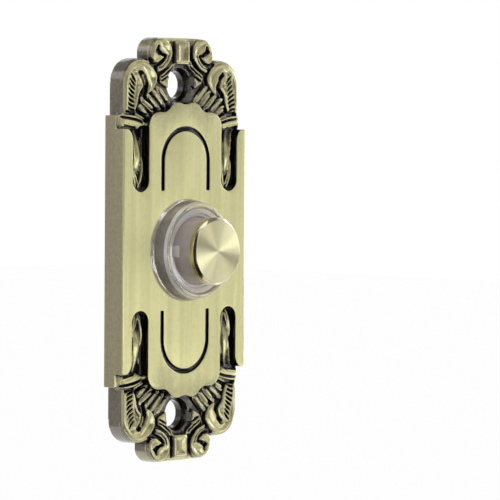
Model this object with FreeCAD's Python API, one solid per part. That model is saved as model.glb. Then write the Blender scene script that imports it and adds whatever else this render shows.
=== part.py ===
import FreeCAD, Part
import math
import os

from FreeCAD import Vector

# Doorbell push button: a cast face plate with scrollwork ends, a clear ring that a lamp
# board lights from behind, and a turned brass cap on a sprung plunger.
# Millimetres. X is across the plate, Z is up, and the wall is the plane Y = 0. The plate
# stands out towards -Y, so a height over the wall, written h, is minus Y. The origin is the
# middle of the plate on the wall. The scrollwork is drawn once, top right, and mirrored.

# Face plate
screw_spacing = 75.0       # between the two wall screw holes
panel_half_width = 11.8    # flat middle panel, from the centre line
slot_width = 5.2           # sunk slot each side of the panel
tab_width = 3.0            # flat strip outside each slot
front_h = 5.9              # flat front of panel and tabs
floor_h = 3.4              # sunk ground behind all the ornament
blade_h = 4.4              # flat leaves of the scrolls
crest_h = 4.7              # top of the ribs and scroll rims
shoulder_drop = 10.1       # from a screw hole down to the end of the tabs
slot_length = 14.1         # slot, from its round end to the end of the tabs
ledge_rise = 3.0           # thin base, past the end of the tabs
crown_drop = 4.1           # from a screw hole down to the top of the panel
tip_rise = 10.5            # from a screw hole up to the tip of the plate
front_wall = 2.1           # plate wall over the hollow back
pocket_half_width = 10.0   # hollow back
pocket_half_height = 22.0
pocket_corner_r = 3.0
edge_chamfer = 0.25        # broken edge of the flat front
groove_half_width = 7.4    # middle of the U groove's legs
groove_width = 1.1
groove_depth = 0.9
groove_top_drop = 10.0     # from a screw hole down to the top of the U groove
groove_leg = 6.6           # straight leg of the U groove
screw_hole_r = 3.1         # clearance for the wall screw
screw_seat_r = 4.5         # mouth of the countersink
screw_seat_h = 1.9         # where the countersink starts

# Scrollwork, each motif from its own centre
curl_r = 5.3               # outer curl of the big scroll
rim_width = 1.0            # its narrow rim
rim_inset = 0.15           # leaf, inside the rim
lobe_r = 5.5               # lobe of ground that carries it
ledge = 0.5                # the lobe's centre, over the curl's
curl_inset = 1.3           # its centre, inside the middle of the slot
curl_drop = 0.3            # its centre, below the screw hole
vein_count = 8
vein_pitch = 1.0
vein_length = 1.9
vein_width = 0.6
vein_depth = 0.7
small_r = 3.3              # small scroll beside the middle block
small_tail = 1.2           # width of its tail
small_lobe_r = 3.6         # lobe of ground that carries it
small_x = 6.6
small_rise = 7.0           # its centre, over the screw hole
block_width = 4.3
block_length = 5.4
block_rise = 7.1           # its middle, over the screw hole
block_h = 5.0

# Clear ring
ring_base_r = 11.6
ring_top_r = 10.9
ring_height = 4.5          # over the plate's front
ring_rim_width = 0.9
ring_dish = 0.7            # how far the inner lip lies below the outer rim
lip_outer_r = 8.5          # where the dish levels out
spigot_r = 9.5             # part of the ring inside the plate
spigot_wall = 0.8
spigot_gap = 0.1           # spigot to plate hole
hook_half_width = 2.6      # two hooks that grip the switch body behind the plate
hook_thickness = 0.6
hook_gap = 0.1
nib_height = 0.8
nib_reach = 0.6
stop_h = 8.0               # underside of the lip that holds the plunger in

# Plunger and cap
plunger_r = 7.4
plunger_gap = 0.1          # running clearance in the lip
plunger_wall = 1.1
plunger_roof = 2.0
flange_reach = 0.9
flange_thickness = 1.0
key_width = 2.5            # rib each side that stops the plunger turning
key_height = 2.2
key_reach = 0.5
key_rise = 3.1             # foot of the rib over the plate's front
key_gap = 0.2
post_half = 1.5            # cross-shaped post, which carries the contact bridge
post_arm = 1.0             # thickness of the cross
post_gap = 0.1
peg_half = 0.5             # square peg, through the bridge
peg_gap = 0.02
cap_gap_h = 8.4            # underside of the cap over the plate's front
cap_thickness = 1.8
cap_r = 7.65
cap_chamfer = 0.5
press_travel = 1.5

# Switch body behind the plate
body_r = 7.6
body_wall = 1.0
body_depth = 8.0           # behind the wall plane
flange_half_width = 8.4    # flat flange, which bears on the plate from behind
flange_half_height = 13.0
flange_corner = 2.0
body_flange_thickness = 1.3
base_thickness = 2.0
barrier_height = 1.5       # rib between the two terminals
barrier_half_width = 0.6
barrier_half_length = 5.0

# Spring, contacts and lamps
spring_wire_r = 0.22
spring_r = 3.3
spring_turns = 5
spring_flats = 12          # flats in a turn of the coil
bridge_length = 6.4
bridge_width = 3.0
bridge_thickness = 0.5
pad_length = 1.8           # silver pads on the strips
pad_width = 1.4
pad_height = 0.6
pad_pitch = 4.8
strip_thickness = 0.4
strip_width = 2.8
strip_start = 1.5          # inner and outer ends of the strips, from the centre line
strip_end = 6.35
contact_clearance = 0.02   # left between pads and bridge at full press
board_thickness = 0.6
board_inner_r = 4.9
board_gap = 0.2
board_sides = 8
lamp_count = 4
lamp_length = 2.6
lamp_width = 1.9
lamp_height = 0.7
lamp_ring_r = 6.7
lamp_angle = 45.0          # first lamp, round from the side
lead_half = 0.25           # square wire from the board to a strip
lead_x = 6.0
lead_gap = 0.05
resistor_length = 2.0
resistor_width = 1.2
resistor_height = 0.5
resistor_angle = 90.0

# Terminal screws
terminal_r = 1.0
terminal_length = 3.0
terminal_head_r = 2.0
terminal_head_height = 1.4
terminal_pitch = 8.6
terminal_gap = 0.03        # screw to strip and base

# Worked out from the values above
hole_z = screw_spacing / 2
slot_x = panel_half_width + slot_width / 2
plate_half_width = panel_half_width + slot_width + tab_width
shoulder_z = hole_z - shoulder_drop
crown_z = hole_z - crown_drop
slot_end_z = shoulder_z - slot_length
curl = Vector(slot_x - curl_inset, 0, hole_z - curl_drop)
small = Vector(small_x, 0, hole_z + small_rise)
root_h = floor_h - 0.4     # ribs start a little inside the ground
ceiling_h = front_h - front_wall
plate_hole_r = spigot_r + spigot_gap
body_front_h = ceiling_h
body_flange_back_h = body_front_h - body_flange_thickness
flange_bottom_h = stop_h - flange_thickness
flange_r = plunger_r + flange_reach
plunger_top_h = front_h + cap_gap_h
plunger_roof_h = plunger_top_h - plunger_roof
plunger_bore_r = plunger_r - plunger_wall
lip_r = plunger_r + plunger_gap
spigot_bore_r = spigot_r - spigot_wall
board_top_h = body_front_h + board_thickness
board_outer_r = spigot_bore_r - board_gap
body_inner_r = body_r - body_wall
body_back_h = -body_depth
base_back_h = body_back_h - base_thickness
strip_front_h = body_back_h + strip_thickness
pad_h = strip_front_h + pad_height
bridge_back_h = pad_h + press_travel + contact_clearance
bridge_front_h = bridge_back_h + bridge_thickness
OUT = Vector(0, -1, 0)     # away from the wall
AXIS = Vector(0, 1, 0)
UP = Vector(0, 0, 1)
ACROSS = Vector(1, 0, 0)


def at(x, z, h):
    """The point at (x, z) on the plate's face, h over the wall."""
    return Vector(x, -h, z)


def save(shape, node):
    shape.exportStep("parts/" + node + ".step")


def rod(radius, low_h, high_h, x=0.0, z=0.0):
    return Part.makeCylinder(radius, high_h - low_h, at(x, z, low_h), OUT)


def tube(outer_r, inner_r, low_h, high_h, x=0.0, z=0.0):
    return rod(outer_r, low_h, high_h, x, z).cut(rod(inner_r, low_h, high_h, x, z))


def cone(low_r, high_r, low_h, high_h, x=0.0, z=0.0):
    return Part.makeCone(low_r, high_r, high_h - low_h, at(x, z, low_h), OUT)


def block(x0, x1, z0, z1, low_h, high_h):
    return Part.makeBox(x1 - x0, high_h - low_h, z1 - z0, at(x0, z0, high_h))


def turned(profile):
    """A solid of revolution about the button's axis, from (radius, h) corners."""
    points = [at(r, 0, h) for r, h in profile]
    return Part.Face(Part.makePolygon(points + points[:1])).revolve(Vector(), AXIS, 360)


def turn(shape, degrees):
    """A copy of a shape, turned about the button's axis."""
    copy = shape.copy()
    copy.rotate(Vector(), AXIS, degrees)
    return copy


def cross(half, arm, low_h, high_h):
    """Cross-shaped post on the button's axis."""
    upright = block(-arm / 2, arm / 2, -half, half, low_h, high_h)
    return fused([upright, block(-half, half, -arm / 2, arm / 2, low_h, high_h)])


def line(a, b):
    return Part.LineSegment(at(*a, 0), at(*b, 0)).toShape()


def arc(a, middle, b):
    return Part.Arc(at(*a, 0), at(*middle, 0), at(*b, 0)).toShape()


def fused(shapes):
    return shapes[0].multiFuse(shapes[1:]).removeSplitter()


def pad(edges, low_h, high_h):
    """A raised area from a closed outline drawn at h = 0."""
    solid = Part.Face(Part.Wire(edges)).extrude(OUT * (high_h - low_h))
    solid.translate(OUT * low_h)
    return solid


def flat(corners, low_h, high_h):
    """A raised area with straight sides."""
    ring = [at(x, z, 0) for x, z in corners]
    return pad(Part.makePolygon(ring + ring[:1]).Edges, low_h, high_h)


def flowing(points, heading):
    """A path of arcs through (x, z) points, each leaving the last one smoothly."""
    edges = []
    for a, b in zip(points, points[1:]):
        chord = Vector(b[0] - a[0], 0, b[1] - a[1])
        length = chord.Length
        chord.normalize()
        heading = Vector(heading).normalize()
        turn_y = chord.cross(heading).y
        cosine = chord.dot(heading)
        if abs(turn_y) < 1e-3:
            edges.append(line(a, b))
        else:
            rise = length / 2 * turn_y / (1 + cosine)
            side = Vector(chord.z, 0, -chord.x)
            middle = Vector(a[0] + b[0], 0, a[1] + b[1]) / 2 + side * rise
            edges.append(arc(a, (middle.x, middle.z), b))
        heading = chord * (2 * cosine) - heading
    return edges


def carried(edge, corners):
    """A flat section carried along one edge of its path, straight or round."""
    start = edge.valueAt(edge.FirstParameter)
    heading = edge.tangentAt(edge.FirstParameter)
    across = Vector(heading.z, 0, -heading.x)
    points = [start + across * x + OUT * h for x, h in corners]
    face = Part.Face(Part.makePolygon(points + points[:1]))
    if edge.Curve.TypeId == "Part::GeomLine":
        return face.extrude(edge.valueAt(edge.LastParameter) - start)
    swing = math.degrees(edge.LastParameter - edge.FirstParameter)
    return face.revolve(edge.Curve.Center, edge.Curve.Axis, swing)


def rib(path, width, top_h):
    """A raised rib along a path, with square ends."""
    side = width / 2
    corners = [(side, top_h), (side, root_h), (-side, root_h), (-side, top_h)]
    solids = [carried(edge, corners) for edge in path]
    return fused(solids) if len(solids) > 1 else solids[0]


def faceted(rings):
    """A solid with flat facets between like rings of corners, closed at both ends."""
    faces = [Part.Face(Part.makePolygon(ring + ring[:1])) for ring in (rings[0], rings[-1])]
    for ring, following in zip(rings, rings[1:]):
        for i, corner in enumerate(ring):
            j = (i + 1) % len(ring)
            for triangle in (
                [corner, ring[j], following[j]],
                [corner, following[j], following[i]],
            ):
                faces.append(Part.Face(Part.makePolygon(triangle + triangle[:1])))
    return Part.makeSolid(Part.makeShell(faces)).removeSplitter()


def plump_bar(middle, length, width, degrees, top_h):
    """A rounded bar with sloping ends, lying at a slant."""
    half, reach, slope = width / 2, length / 2, width * 0.45
    rings = []
    for x, size in ((-reach, 0.55), (slope - reach, 1), (reach - slope, 1), (reach, 0.55)):
        high = root_h + (top_h - root_h) * (size + 1) / 2
        outline = ((-half, root_h), (-half * 0.5, high), (half * 0.5, high), (half, root_h))
        rings.append([at(x, z * size, h) for z, h in outline])
    bar = faceted(rings)
    bar.rotate(Vector(), AXIS, -degrees)
    bar.translate(Vector(middle[0], 0, middle[1]))
    return bar


def notch(middle, length, width, degrees, top_h, depth):
    """A V-shaped cut with a pointed plan, for veins and creases."""
    half = length / 2
    points = [
        at(-half, 0, top_h),
        at(0, -width / 2, top_h),
        at(half, 0, top_h),
        at(0, width / 2, top_h),
    ]
    keel = at(0, 0, top_h - depth)
    faces = [Part.Face(Part.makePolygon(points + points[:1]))]
    for a, b in zip(points, points[1:] + points[:1]):
        faces.append(Part.Face(Part.makePolygon([a, b, keel, a])))
    cut = Part.makeSolid(Part.makeShell(faces))
    cut.rotate(Vector(), AXIS, -degrees)
    cut.translate(Vector(middle[0], 0, middle[1]))
    return cut


def front_panel():
    """Flat front of the top right quarter: panel, tab and the web below the slot."""
    corner_r = 3.3
    brow_z = crown_z - 2.2
    corner_x, corner_z = panel_half_width - corner_r, brow_z - corner_r
    slope = corner_r * math.sqrt(0.5)
    slot_r = slot_width / 2
    turn_z = slot_end_z + slot_r
    out_x = slot_x + slot_r
    flare = 1.5
    flare_z = shoulder_z - 2.9
    edges = [
        line((0, 0), (plate_half_width, 0)),
        line((plate_half_width, 0), (plate_half_width, shoulder_z)),
        line((plate_half_width, shoulder_z), (out_x + flare, shoulder_z)),
        arc((out_x + flare, shoulder_z), (out_x + 0.45, shoulder_z - 1.1), (out_x, flare_z)),
        line((out_x, flare_z), (out_x, turn_z)),
        arc((out_x, turn_z), (slot_x, slot_end_z), (panel_half_width, turn_z)),
        line((panel_half_width, turn_z), (panel_half_width, corner_z)),
        arc(
            (panel_half_width, corner_z),
            (corner_x + slope, corner_z + slope),
            (corner_x, brow_z),
        ),
        line((corner_x, brow_z), (6.9, brow_z)),
        arc((6.9, brow_z), (5.65, brow_z + 0.4), (4.7, brow_z + 1.2)),
        arc((4.7, brow_z + 1.2), (3.85, brow_z + 1.9), (2.8, crown_z)),
        line((2.8, crown_z), (0, crown_z)),
        line((0, crown_z), (0, 0)),
    ]
    panel = pad(edges, root_h, front_h)
    broken = [
        e
        for e in panel.Edges
        if all(abs(v.Y + front_h) < 1e-6 and v.X > slot_x + slot_r for v in e.Vertexes)
        and e.Curve.TypeId == "Part::GeomLine"
    ]
    return panel.makeChamfer(edge_chamfer, broken)


def u_groove():
    """Half of the U groove sunk in the panel."""
    inner_r = groove_half_width - groove_width / 2
    outer_r = groove_half_width + groove_width / 2
    centre_z = hole_z - groove_top_drop - groove_half_width
    leg_z = centre_z - groove_leg
    low_h, high_h = front_h - groove_depth, front_h + 1.0
    arch = tube(outer_r, inner_r, low_h, high_h, 0, centre_z)
    arch = arch.common(block(0, outer_r, centre_z, centre_z + outer_r, low_h, high_h))
    leg = block(inner_r, outer_r, leg_z, centre_z, low_h, high_h)
    return fused([arch, leg])


def base_slab():
    """Thin ground of the top right quarter, with the outline of the whole ornament."""
    lobe_z = curl.z + ledge
    valley_z = lobe_z + lobe_r
    top_z = hole_z + tip_rise
    return fused(
        [
            block(0, plate_half_width, 0, shoulder_z + ledge_rise, 0, floor_h),
            block(0, curl.x + lobe_r, shoulder_z, lobe_z, 0, floor_h),
            rod(lobe_r, 0, floor_h, curl.x, lobe_z),
            block(0, curl.x, hole_z - 1, valley_z, 0, floor_h),
            rod(small_lobe_r, 0, floor_h, small.x, top_z - small_lobe_r),
            block(0, small.x, hole_z, top_z, 0, floor_h),
        ]
    )


def polar(radius, degrees):
    angle = math.radians(degrees)
    return (math.cos(angle) * radius, math.sin(angle) * radius)


def from_centre(centre, offsets):
    return [(centre.x + x, centre.z + z) for x, z in offsets]


def leaf():
    """Flat leaf of the big scroll, beside its hollow and down to the slot."""
    r = curl_r - rim_inset
    foot, side, bend, top = from_centre(curl, [(r, -5.9), (r, 0), polar(r, 40), polar(r, 80)])
    hollow = from_centre(curl, [(0.1, 3.25), (0.9, 2.6), (-0.3, 1.4), (-0.8, -0.4), (-0.3, -0.9)])
    sweep, heel = from_centre(curl, [(1.25, -2.8), (2.0, -5.9)])
    edges = [line(foot, side), arc(side, bend, top), line(top, hollow[0])]
    edges += [line(a, b) for a, b in zip(hollow, hollow[1:])]
    edges += [arc(hollow[-1], sweep, heel), line(heel, foot)]
    return pad(edges, root_h, blade_h)


def curl_head(meet):
    """Broad band of the big scroll, from its rim over the top and down to a pointed tip."""
    start, top, back = from_centre(curl, [polar(curl_r, a) for a in (meet, 108, 156)])
    belly, tip = from_centre(curl, [(-4.45, 0.0), (-1.7, -1.9)])
    inside = from_centre(curl, [(-2.1, 0), (-1.1, 2.0), (0.1, 3.25), (1.9, 3.3)])
    edges = [arc(start, top, back), arc(back, belly, tip), line(tip, inside[0])]
    edges += [line(a, b) for a, b in zip(inside, inside[1:] + [start])]
    return pad(edges, root_h, crest_h + 0.1)


def big_scroll():
    """The big scroll: its leaf, the broad curl, the narrow rim and the inner ribs."""
    rim_r = curl_r - rim_width / 2
    meet, overlap = 60, 6
    rim_path = flowing(
        from_centre(curl, [(rim_r, -5.6), (rim_r, 0), polar(rim_r, meet + overlap)]), UP
    )
    inner = flowing(
        from_centre(curl, [(-0.3, -0.4), (1.35, -2.9), (2.35, -5.7)]), Vector(0.85, 0, -0.5)
    )
    hollow_side = flowing(from_centre(curl, [(-0.3, -0.4), (1.5, 2.4)]), Vector(0.15, 0, 1))
    return [
        leaf(),
        curl_head(meet),
        rib(rim_path, rim_width, crest_h),
        rib(inner, 0.8, crest_h - 0.05),
        rib(hollow_side, 0.7, crest_h - 0.15),
    ]


def veins():
    """Short slanting cuts down the leaf of the big scroll."""
    cuts = []
    for i in range(vein_count):
        share = i / (vein_count - 1)
        x = curl.x + 2.5 + 0.85 * math.sin(share * math.pi / 2)
        z = curl.z + 1.6 - i * vein_pitch
        lean = 50 - 32 * share
        cuts.append(notch((x, z), vein_length, vein_width, lean, blade_h + 0.01, vein_depth))
    return cuts


def small_scroll():
    """The small scroll beside the middle block: a full round head on a tail, and its eye."""
    low_tail, tail_bend, back, top, side, lip = from_centre(
        small,
        [
            (1.5, -4.3),
            (-1.75, -2.9),
            (-small_r, 0),
            (0, small_r),
            (small_r, 0),
            (0.9, -2.0),
        ],
    )
    lip_bend, point, notch_bend, high_tail = from_centre(
        small, [polar(small_r, -40), (-1.3, -0.6), (-0.2, -2.2), (1.5, small_tail - 4.3)]
    )
    edges = [
        arc(low_tail, tail_bend, back),
        arc(back, top, side),
        arc(side, lip_bend, lip),
        line(lip, point),
        arc(point, notch_bend, high_tail),
        line(high_tail, low_tail),
    ]
    eye = [(1.2, 1.6), (2.3, 0.3), (1.2, -0.4), (-0.3, -0.1), (0.8, 0.5)]
    head = pad(edges, root_h, crest_h + 0.1)
    return [head.cut(flat(from_centre(small, eye), floor_h, crest_h + 1))]


def middle_block():
    """Half of the block between the small scrolls, rounded over at both ends."""
    low_z = hole_z + block_rise - block_length / 2
    high_z = low_z + block_length
    roll = 0.9
    lean = roll * (1 - math.sqrt(0.5))
    low_side, low_bend, low_top = [
        at(0, low_z + z, h)
        for z, h in ((0, block_h - roll), (lean, block_h - lean), (roll, block_h))
    ]
    high_side, high_bend, high_top = [
        at(0, high_z - z, h)
        for z, h in ((0, block_h - roll), (lean, block_h - lean), (roll, block_h))
    ]
    low_foot, high_foot = at(0, low_z, root_h), at(0, high_z, root_h)
    outline = [
        Part.LineSegment(low_foot, low_side),
        Part.Arc(low_side, low_bend, low_top),
        Part.LineSegment(low_top, high_top),
        Part.Arc(high_top, high_bend, high_side),
        Part.LineSegment(high_side, high_foot),
        Part.LineSegment(high_foot, low_foot),
    ]
    side = Part.Face(Part.Wire([edge.toShape() for edge in outline]))
    return side.extrude(ACROSS * (block_width / 2))


def gadroons():
    """Fan of plump slanting lobes between the panel's crown and the big scroll."""
    lobes = [
        (6.2, -2.3, 5.0, 1.8, 47),
        (7.7, -3.5, 4.4, 1.6, 45),
        (9.3, -4.3, 4.0, 1.5, 42),
        (11.0, -4.7, 4.4, 1.5, 33),
        (12.5, -6.1, 3.2, 1.6, 28),
    ]
    return [
        plump_bar((x, hole_z + drop), length, width, lean, crest_h)
        for x, drop, length, width, lean in lobes
    ]


def strands():
    """Two thin cords under the small scroll's tail, and the web beside the screw hole."""
    shapes = []
    for shift in (0, 0.85):
        ends = ((2.3, hole_z + 4.5 - shift), (7.0, hole_z + 1.8 - 0.6 * shift))
        shapes.append(rib([line(*ends)], 0.55, crest_h - 0.2))
    corners = [(3.0, 1.5), (4.4, -0.9), (6.7, 0.2), (7.2, 1.2), (4.6, 2.4)]
    shapes.append(flat([(x, hole_z + z) for x, z in corners], root_h, crest_h - 0.4))
    return shapes


def ribbon():
    """Sloping band across the end of the slot, with a pointed lower edge."""
    z = shoulder_z
    band = plump_bar((slot_x + 0.55, z + 1.45), 7.8, 1.8, 9, crest_h)
    upper_path = line((slot_x + 0.6, z + 3.4), (panel_half_width, z + 2.1))
    upper = rib([upper_path], 0.6, crest_h - 0.2)
    point = flat(
        [(panel_half_width - 0.2, z + 0.9), (slot_x - 0.1, z - 0.2), (slot_x + 2.4, z + 1.5)],
        root_h,
        crest_h - 0.25,
    )
    return [band, upper, point]


def husk():
    """Leaf drop lying in the slot: a keeled body that narrows to a point."""
    stations = [
        (1.9, shoulder_z - 0.7, 0.9, crest_h),
        (1.2, shoulder_z - 5.0, 1.35, crest_h + 0.4),
        (0.9, slot_end_z + 4.3, 1.2, crest_h),
        (0.5, slot_end_z + 0.9, 0.15, floor_h + 0.2),
    ]
    rings = []
    for dx, z, half, top_h in stations:
        x = slot_x + dx
        rings.append([at(x - half, z, root_h), at(x, z, top_h), at(x + half, z, root_h)])
    side_path = [line((slot_x - 1.3, shoulder_z - 2.0), (slot_x - 0.9, shoulder_z - 9.5))]
    return [faceted(rings), rib(side_path, 0.8, crest_h - 0.4)]


def faceplate():
    """Cast plate: one quarter with its relief, mirrored, then the holes and hollow back."""
    relief = big_scroll() + small_scroll() + gadroons() + strands() + ribbon() + husk()
    quarter = fused([base_slab(), front_panel(), middle_block()] + relief)
    quarter = quarter.cut(veins() + [u_groove()])
    half = fused([quarter, quarter.mirror(Vector(), ACROSS)])
    plate = fused([half, half.mirror(Vector(), UP)])
    cuts = [rod(plate_hole_r, 0, front_h)]
    for z in (-hole_z, hole_z):
        cuts.append(rod(screw_hole_r, 0, floor_h, 0, z))
        cuts.append(cone(screw_hole_r, screw_seat_r, screw_seat_h, crest_h, 0, z))
        cuts.append(rod(screw_seat_r, crest_h, front_h, 0, z))
    x, z = pocket_half_width, pocket_half_height
    hollow = block(-x, x, -z, z, 0, ceiling_h)
    corners = [e for e in hollow.Edges if abs(abs(e.tangentAt(e.FirstParameter).y) - 1) < 1e-6]
    return plate.cut(cuts + [hollow.makeFillet(pocket_corner_r, corners)]).removeSplitter()


def light_ring():
    """Clear moulded ring: dished rim, stop lip, keyways, spigot and two hooks."""
    rim_h = front_h + ring_height
    dish_h = rim_h - ring_dish
    ring = turned(
        [
            (spigot_bore_r, body_front_h),
            (spigot_r, body_front_h),
            (spigot_r, front_h),
            (ring_base_r, front_h),
            (ring_top_r, rim_h),
            (ring_top_r - ring_rim_width, rim_h),
            (lip_outer_r, dish_h),
            (lip_r, dish_h),
            (lip_r, stop_h),
            (spigot_bore_r, stop_h),
        ]
    )
    reach = plunger_r + key_reach + key_gap
    half = key_width / 2 + key_gap
    ring = ring.cut(block(-reach, reach, -half, half, stop_h, dish_h))
    x, z = flange_half_width + hook_gap, hook_half_width
    nib_h = body_flange_back_h - nib_height
    hooks = []
    for side in (-1, 1):
        inner, outer = sorted((side * x, side * (x + hook_thickness)))
        hooks.append(block(inner, outer, -z, z, nib_h, body_front_h))
        inner, outer = sorted((side * (x - nib_reach), side * x))
        hooks.append(block(inner, outer, -z, z, nib_h, body_flange_back_h))
    return fused([ring] + hooks)


def plunger():
    """Clear plunger: thick roof, stop flange, keys, and the post for the bridge."""
    shell = turned(
        [
            (0, plunger_roof_h),
            (plunger_bore_r, plunger_roof_h),
            (plunger_bore_r, flange_bottom_h),
            (flange_r, flange_bottom_h),
            (flange_r, stop_h),
            (plunger_r, stop_h),
            (plunger_r, plunger_top_h),
            (0, plunger_top_h),
        ]
    )
    post = cross(post_half, post_arm, bridge_front_h, plunger_roof_h)
    peg = block(-peg_half, peg_half, -peg_half, peg_half, bridge_back_h, bridge_front_h)
    reach = plunger_r + key_reach
    key_h = front_h + key_rise
    keys = block(-reach, reach, -key_width / 2, key_width / 2, key_h, key_h + key_height)
    keys = keys.cut(rod(plunger_r - plunger_wall / 2, key_h, key_h + key_height))
    return fused([shell, post, peg, keys])


def push_cap():
    """Turned brass cap, bonded on the plunger."""
    top_h = plunger_top_h + cap_thickness
    return turned(
        [
            (0, plunger_top_h),
            (cap_r, plunger_top_h),
            (cap_r, top_h - cap_chamfer),
            (cap_r - cap_chamfer, top_h),
            (0, top_h),
        ]
    )


def switch_body():
    """Moulded cup behind the plate, with a flat flange that carries spring and lamps."""
    x, z, c = flange_half_width, flange_half_height, flange_corner
    right = [(x, c - z), (x, z - c), (x - c, z)]
    left = [(-across, -up) for across, up in right]
    outline = right + [(c - x, z)] + left + [(x - c, -z)]
    body = fused(
        [
            flat(outline, body_flange_back_h, body_front_h),
            tube(body_r, body_inner_r, body_back_h, body_flange_back_h),
        ]
    )
    way = cross(
        post_half + post_gap, post_arm + 2 * post_gap, body_flange_back_h, body_front_h
    )
    return body.cut([way] + [lead_hole(s, body_flange_back_h, body_front_h) for s in (-1, 1)])


def lead_hole(side, low_h, high_h):
    half = lead_half + lead_gap
    x = side * lead_x
    return block(x - half, x + half, -half, half, low_h, high_h)


def body_base():
    """Terminal board that closes the back of the cup, with a rib between the terminals."""
    base = rod(body_r, base_back_h, body_back_h)
    x, z = barrier_half_width, barrier_half_length
    base = fused([base, block(-x, x, -z, z, base_back_h - barrier_height, base_back_h)])
    hole_r = terminal_r + terminal_gap
    x = terminal_pitch / 2
    return base.cut([rod(hole_r, base_back_h, body_back_h, s * x, 0) for s in (-1, 1)])


def fixed_contact(side):
    """Strip on the base: a silver pad inside, and a tapped hole for its terminal screw."""
    start, end = sorted((side * strip_start, side * strip_end))
    strip = block(
        start, end, -strip_width / 2, strip_width / 2, body_back_h, strip_front_h
    )
    x, z = side * pad_pitch / 2, pad_length / 2
    pad_block = block(x - pad_width / 2, x + pad_width / 2, -z, z, strip_front_h, pad_h)
    hole = rod(
        terminal_r + terminal_gap, body_back_h, strip_front_h, side * terminal_pitch / 2, 0
    )
    return fused([strip, pad_block]).cut(hole)


def contact_bridge():
    """Flat bar on the plunger's peg, which joins the two pads when pressed."""
    x, z, half = bridge_length / 2, bridge_width / 2, peg_half + peg_gap
    bar = block(-x, x, -z, z, bridge_back_h, bridge_front_h)
    return bar.cut(block(-half, half, -half, half, bridge_back_h, bridge_front_h))


def return_spring():
    """Coil spring from the body's flange to the plunger's roof, its wire square-cut."""
    low_h, high_h = body_front_h + spring_wire_r, plunger_roof_h - spring_wire_r
    steps = spring_turns * spring_flats
    rings = []
    for i in range(steps + 1):
        middle_h = low_h + (high_h - low_h) * i / steps
        ring = []
        for out, rise in ((1, 0), (0, 1), (-1, 0), (0, -1)):
            x, z = polar(spring_r + out * spring_wire_r, 360 * i / spring_flats)
            ring.append(at(x, z, middle_h + rise * spring_wire_r))
        rings.append(ring)
    return faceted(rings)


def led_board():
    """Eight-sided lamp board round the spring, inside the ring's spigot."""
    step = 360 / board_sides
    corners = [polar(board_outer_r, (i + 0.5) * step) for i in range(board_sides)]
    board = flat(corners, body_front_h, board_top_h)
    board = board.cut(rod(board_inner_r, body_front_h, board_top_h))
    return board.cut([lead_hole(side, body_front_h, board_top_h) for side in (-1, 1)])


def on_board(length, width, height, degrees):
    """A small rectangular component, standing on the lamp board."""
    low_x, high_x = lamp_ring_r - width / 2, lamp_ring_r + width / 2
    top_h = board_top_h + height
    return turn(block(low_x, high_x, -length / 2, length / 2, board_top_h, top_h), degrees)


def board_lead(side):
    """Stiff square wire from the lamp board down to its contact strip."""
    x = side * lead_x
    end_h = board_top_h + lead_half
    return block(x - lead_half, x + lead_half, -lead_half, lead_half, strip_front_h, end_h)


def terminal_screw(side):
    """Binding screw, driven from behind through the base into its strip."""
    x = side * terminal_pitch / 2
    head = rod(terminal_head_r, base_back_h - terminal_head_height, base_back_h, x, 0)
    shank = rod(terminal_r, base_back_h, base_back_h + terminal_length, x, 0)
    return fused([head, shank])


def main():
    os.makedirs("parts", exist_ok=True)
    save(faceplate(), "faceplate")
    save(light_ring(), "light_ring")
    save(plunger(), "plunger")
    save(push_cap(), "push_cap")
    save(contact_bridge(), "contact_bridge")
    save(return_spring(), "return_spring")
    save(switch_body(), "switch_body")
    save(body_base(), "body_base")
    save(led_board(), "led_board")
    for i in range(lamp_count):
        angle = lamp_angle + i * 360 / lamp_count
        save(on_board(lamp_length, lamp_width, lamp_height, angle), f"led_{i + 1}")
    resistor = on_board(resistor_length, resistor_width, resistor_height, resistor_angle)
    save(resistor, "board_resistor")
    for side, end in ((-1, "left"), (1, "right")):
        save(fixed_contact(side), "fixed_contact_" + end)
        save(board_lead(side), "board_lead_" + end)
        save(terminal_screw(side), "terminal_screw_" + end)


main()
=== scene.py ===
# %% [markdown]
# # A doorbell push button with a scrollwork plate
# The object is a tall cast plate, a clear ring that lamps light from behind, and a spun brass
# cap on a sprung plunger. The CAD model gives every place and size. This notebook gives each
# piece the softness, the grain and the wear that the real one has, and then lights it.

# %% Load the frame
import math

import bmesh
import bpy
from mathutils import Matrix, Vector, bvhtree, kdtree


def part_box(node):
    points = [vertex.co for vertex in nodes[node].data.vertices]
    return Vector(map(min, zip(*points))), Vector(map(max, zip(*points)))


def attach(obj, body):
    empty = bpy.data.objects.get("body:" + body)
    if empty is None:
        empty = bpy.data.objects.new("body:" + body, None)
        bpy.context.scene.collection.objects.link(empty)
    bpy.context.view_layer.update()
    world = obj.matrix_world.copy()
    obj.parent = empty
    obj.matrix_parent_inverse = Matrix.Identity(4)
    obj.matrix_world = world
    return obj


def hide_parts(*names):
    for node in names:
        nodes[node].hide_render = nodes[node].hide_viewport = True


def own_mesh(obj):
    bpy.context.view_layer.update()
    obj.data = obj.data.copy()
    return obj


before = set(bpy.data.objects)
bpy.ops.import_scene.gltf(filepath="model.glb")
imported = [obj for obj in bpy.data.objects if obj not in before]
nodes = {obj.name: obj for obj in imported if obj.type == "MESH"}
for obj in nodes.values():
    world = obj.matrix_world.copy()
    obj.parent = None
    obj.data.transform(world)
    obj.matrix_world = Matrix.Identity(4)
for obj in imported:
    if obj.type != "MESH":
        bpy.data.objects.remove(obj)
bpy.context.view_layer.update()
print("pieces in the frame:", len(nodes))

# %% [markdown]
# The script measures in millimetres, as the maker of the plate would, and one constant turns
# them into Blender's metres. A height is a distance out from the wall, and the wall is Y = 0.

# %% Units and places
MM = 0.001


def at(x, z, height):
    """A point on the plate's face, in metres, from millimetres."""
    return Vector((x * MM, -height * MM, z * MM))


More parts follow.
